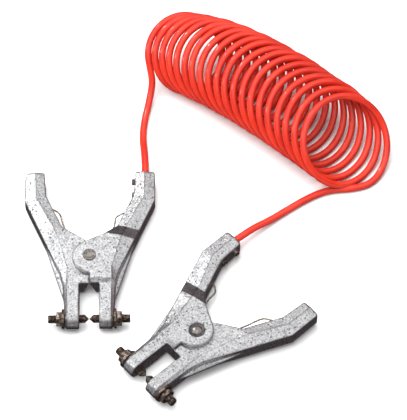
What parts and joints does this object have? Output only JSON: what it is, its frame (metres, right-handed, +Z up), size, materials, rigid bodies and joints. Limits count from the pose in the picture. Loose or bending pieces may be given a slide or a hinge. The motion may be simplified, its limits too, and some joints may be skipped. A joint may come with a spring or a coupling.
{
  "type": "ground clamp",
  "caption": "Static-grounding lead: spring hand clamps with pointed contact screws, joined by a coiled cable, lying loose on a surface.",
  "frame": {"origin": "middle of the box round both clamps, without the cable, at the height of the surface they lie on", "axes": "+Z up from the surface; +Y along the first clamp's handles, towards its cable, within one degree; +X to the right seen from above with +Y away"},
  "size_m": [0.3441, 0.4085, 0.0669],
  "materials": {
    "casting": "sand cast, tumbled",
    "plated_steel": "plated, satin",
    "spring_steel": "bright drawn wire",
    "dark_steel": "dark plated, oily",
    "cable_jacket": "glossy orange-red jacket"
  },
  "bodies": {
    "cable_side": {"left_cable_half": "casting", "left_pivot_rivet": "plated_steel", "left_spring_sleeve": "plated_steel", "left_torsion_spring": "spring_steel", "left_cable_half_lock_nut": "dark_steel", "left_cable_half_washer": "dark_steel", "left_cable_set_screws": "dark_steel", "left_cable_end": "cable_jacket", "right_cable_half": "casting", "right_pivot_rivet": "plated_steel", "right_spring_sleeve": "plated_steel", "right_torsion_spring": "spring_steel", "right_cable_half_lock_nut": "dark_steel", "right_cable_half_washer": "dark_steel", "right_cable_set_screws": "dark_steel", "right_cable_end": "cable_jacket", "left_cable_lead": "cable_jacket", "cable_coil": "cable_jacket", "right_cable_lead": "cable_jacket"},
    "left_plain_side": {"left_plain_half": "casting", "left_plain_half_lock_nut": "dark_steel", "left_plain_half_washer": "dark_steel"},
    "left_cable_half_screw": {"left_cable_half_contact_screw": "dark_steel"},
    "left_plain_half_screw": {"left_plain_half_contact_screw": "dark_steel"},
    "right_plain_side": {"right_plain_half": "casting", "right_plain_half_lock_nut": "dark_steel", "right_plain_half_washer": "dark_steel"},
    "right_cable_half_screw": {"right_cable_half_contact_screw": "dark_steel"},
    "right_plain_half_screw": {"right_plain_half_contact_screw": "dark_steel"}
  },
  "joints": [
    {"name": "left_clamp_pivot", "type": "hinge", "parent": "cable_side", "child": "left_plain_side", "pos_m": [-0.073, 0.0284, 0.0118], "axis": [0, 0, -1], "range_deg": [0, 26], "stiffness_Nm_per_rad": 1.2, "springref_deg": -68.75, "deforming": ["left_torsion_spring"]},
    {"name": "left_cable_half_screw_slide", "type": "slide", "parent": "cable_side", "child": "left_cable_half_screw", "axis": [0.9999, 0.0157, 0], "range_m": [0, 0.008]},
    {"name": "left_plain_half_screw_slide", "type": "slide", "parent": "left_plain_side", "child": "left_plain_half_screw", "axis": [-0.9999, -0.0157, 0], "range_m": [0, 0.008]},
    {"name": "right_clamp_pivot", "type": "hinge", "parent": "cable_side", "child": "right_plain_side", "pos_m": [0.0258, -0.0515, 0.0124], "axis": [0, 0, 1], "range_deg": [0, 26], "stiffness_Nm_per_rad": 1.2, "springref_deg": -68.75, "deforming": ["right_torsion_spring"]},
    {"name": "right_cable_half_screw_slide", "type": "slide", "parent": "cable_side", "child": "right_cable_half_screw", "axis": [-0.6743, 0.7385, 0], "range_m": [0, 0.008]},
    {"name": "right_plain_half_screw_slide", "type": "slide", "parent": "right_plain_side", "child": "right_plain_half_screw", "axis": [0.6743, -0.7385, 0], "range_m": [0, 0.008]}
  ]
}
